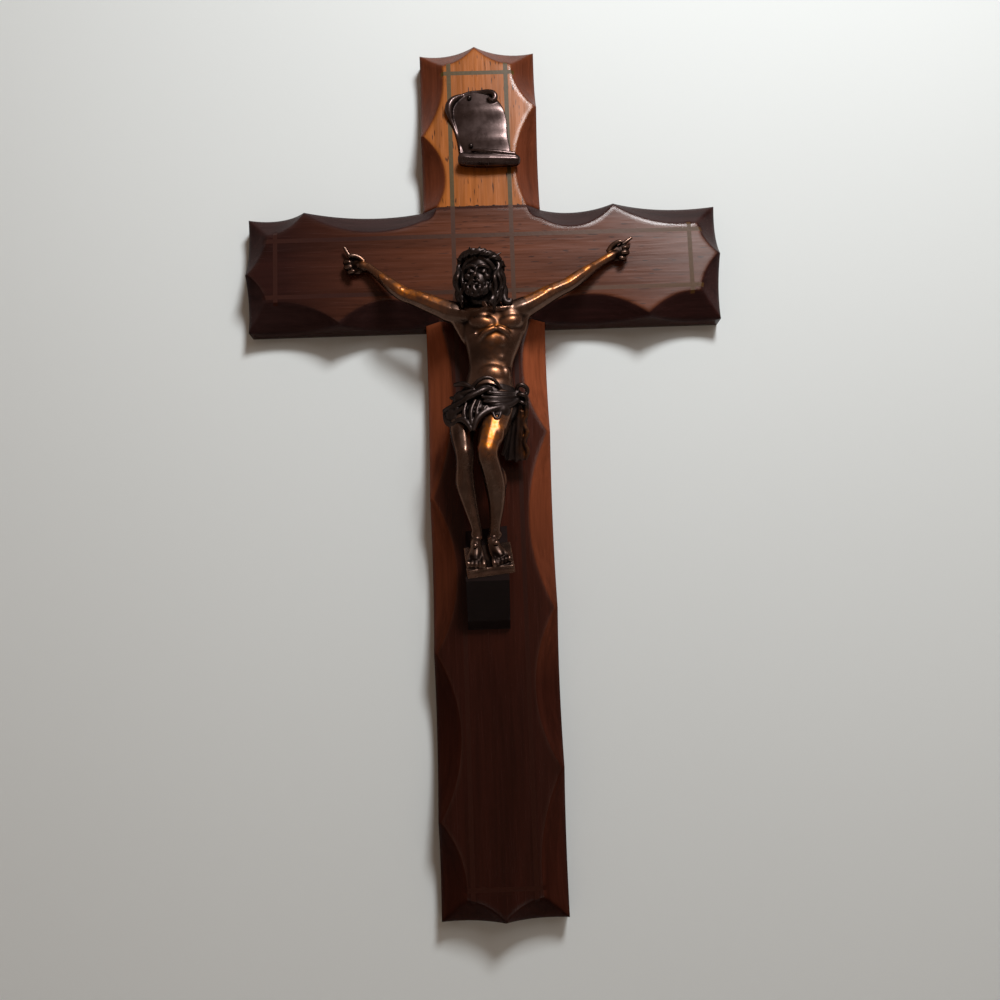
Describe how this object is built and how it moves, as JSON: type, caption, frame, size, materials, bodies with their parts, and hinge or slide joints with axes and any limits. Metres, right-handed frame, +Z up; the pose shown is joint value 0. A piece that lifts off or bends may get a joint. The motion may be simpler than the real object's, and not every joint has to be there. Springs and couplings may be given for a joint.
{
  "type": "wall crucifix",
  "caption": "Wall crucifix of dark wood with scalloped edges and inlaid stringing, bearing a cast bronze figure on a foot block and a blank cast scroll above.",
  "frame": {"origin": "middle of the hanging hole's mouth, on the back face of the upright, 40 mm below its top end", "axes": "+Z up the upright, +X to the right as seen from the front, +Y out of the back towards the wall; the figure faces -Y"},
  "size_m": [0.22, 0.0482, 0.4],
  "materials": {
    "beam_wood": "satin varnish",
    "stringing": "satin varnish",
    "block_wood": "satin varnish",
    "bronze": "dark patina worn bright on the high places",
    "steel": "plain"
  },
  "bodies": {
    "root": {"upright": "beam_wood", "crossbar": "beam_wood", "inlay_upright_left": "stringing", "inlay_upright_right": "stringing", "inlay_bar_upper": "stringing", "inlay_bar_lower": "stringing", "inlay_end_left": "stringing", "inlay_end_right": "stringing", "inlay_top": "stringing", "inlay_foot": "stringing", "titulus_scroll": "bronze", "titulus_pins": "bronze", "foot_block": "block_wood", "foot_block_screw": "steel", "corpus": "bronze", "arm_left": "bronze", "arm_right": "bronze", "hand_nails": "bronze", "foot_nails": "bronze"}
  },
  "joints": []
}
